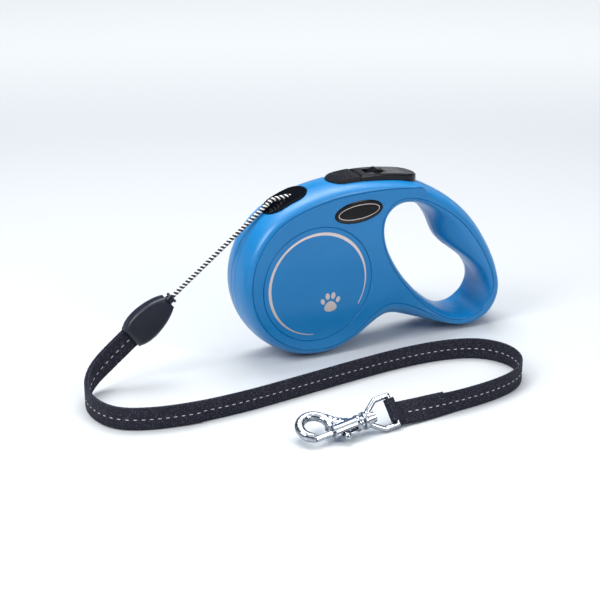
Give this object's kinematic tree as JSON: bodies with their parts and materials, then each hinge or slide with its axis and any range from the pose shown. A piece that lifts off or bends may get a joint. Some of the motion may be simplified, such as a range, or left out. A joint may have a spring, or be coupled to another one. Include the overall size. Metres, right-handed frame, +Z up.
{
  "type": "retractable leash",
  "caption": "Retractable dog leash: moulded grip housing with a sprung cord reel, thumb brake with lock, woven strap and swivelling bolt snap.",
  "frame": {"origin": "under the middle of the housing's length and thickness, on the surface that the drum and the handle stand on", "axes": "+Z up, +X from the cord outlet and drum towards the handle, +Y through the thickness towards the side with the screws"},
  "size_m": [0.2586, 0.1304, 0.1015],
  "materials": {
    "housing_plastic": "satin moulded",
    "dark_trim": "gloss moulded",
    "button_black": "gloss moulded",
    "plate_grey": "satin moulded",
    "inner_plastic": "natural moulded",
    "spring_steel": "drawn",
    "screw_steel": "zinc plated",
    "cord_weave": "braided white with black flecks",
    "connector_plastic": "fine satin",
    "strap_weave": "woven webbing",
    "stitch_thread": "reflective thread",
    "snap_chrome": "polished plating",
    "foil": "hot-stamped foil"
  },
  "bodies": {
    "case": {"housing_left": "housing_plastic", "housing_right": "housing_plastic", "disc_left": "housing_plastic", "disc_right": "housing_plastic", "badge_left": "dark_trim", "badge_right": "dark_trim", "housing_screws": "screw_steel", "outlet_bush": "dark_trim", "button_frame": "plate_grey", "button_spring": "spring_steel", "pawl_pin": "spring_steel", "axle": "spring_steel", "power_spring": "spring_steel", "cord_lead": "cord_weave", "leash_cord": "cord_weave"},
    "reel": {"reel": "inner_plastic", "reel_cover": "inner_plastic", "cord_winding": "cord_weave"},
    "button": {"brake_button": "button_black"},
    "lock": {"lock_slider": "button_black"},
    "pawl": {"brake_pawl": "inner_plastic"},
    "leash_end": {"cord_collar": "connector_plastic", "connector": "connector_plastic", "strap": "strap_weave"},
    "eye": {"swivel_eye": "snap_chrome"},
    "hook": {"swivel_rivet": "snap_chrome", "hook_body": "snap_chrome", "bolt_spring": "spring_steel"},
    "bolt": {"hook_bolt": "snap_chrome"}
  },
  "joints": [
    {"name": "leash_retract", "type": "slide", "parent": "case", "child": "leash_end", "axis": [0.789, 0, 0.6143], "range_m": [0, 0.0511], "deforming": ["leash_cord"]},
    {"name": "reel_turn", "type": "hinge", "parent": "case", "child": "reel", "pos_m": [-0.0383, 0, 0.04452], "axis": [0, 1, 0], "range_deg": [0, 90], "deforming": ["power_spring"]},
    {"name": "brake_press", "type": "slide", "parent": "case", "child": "button", "axis": [0, 0, -1], "range_m": [0, 0.003], "stiffness_N_per_m": 500, "springref_m": -0.002, "deforming": ["button_spring"]},
    {"name": "pawl_turn", "type": "hinge", "parent": "case", "child": "pawl", "pos_m": [-0.0303, 0, 0.08702], "axis": [0, 1, 0], "range_deg": [0, 6.7]},
    {"name": "lock_slide", "type": "slide", "parent": "button", "child": "lock", "axis": [-1, 0, 0], "range_m": [0, 0.003]},
    {"name": "eye_swing", "type": "hinge", "parent": "leash_end", "child": "eye", "pos_m": [-0.0408, -0.105, 0.00892], "axis": [-0.1388, 0.5658, 0.8128], "range_deg": [-25, 25]},
    {"name": "hook_swivel", "type": "hinge", "parent": "eye", "child": "hook", "pos_m": [-0.0408, -0.105, 0.00892], "axis": [-0.9901, -0.0954, -0.1026], "continuous": true},
    {"name": "bolt_slide", "type": "slide", "parent": "hook", "child": "bolt", "axis": [0.9901, 0.0954, 0.1026], "range_m": [0, 0.006], "stiffness_N_per_m": 250, "springref_m": -0.004, "deforming": ["bolt_spring"]}
  ],
  "couplings": [
    {"joint": "reel_turn", "follows": "leash_retract", "rad_per_m": 30.722},
    {"joint": "pawl_turn", "follows": "brake_press", "rad_per_m": 38.55}
  ]
}
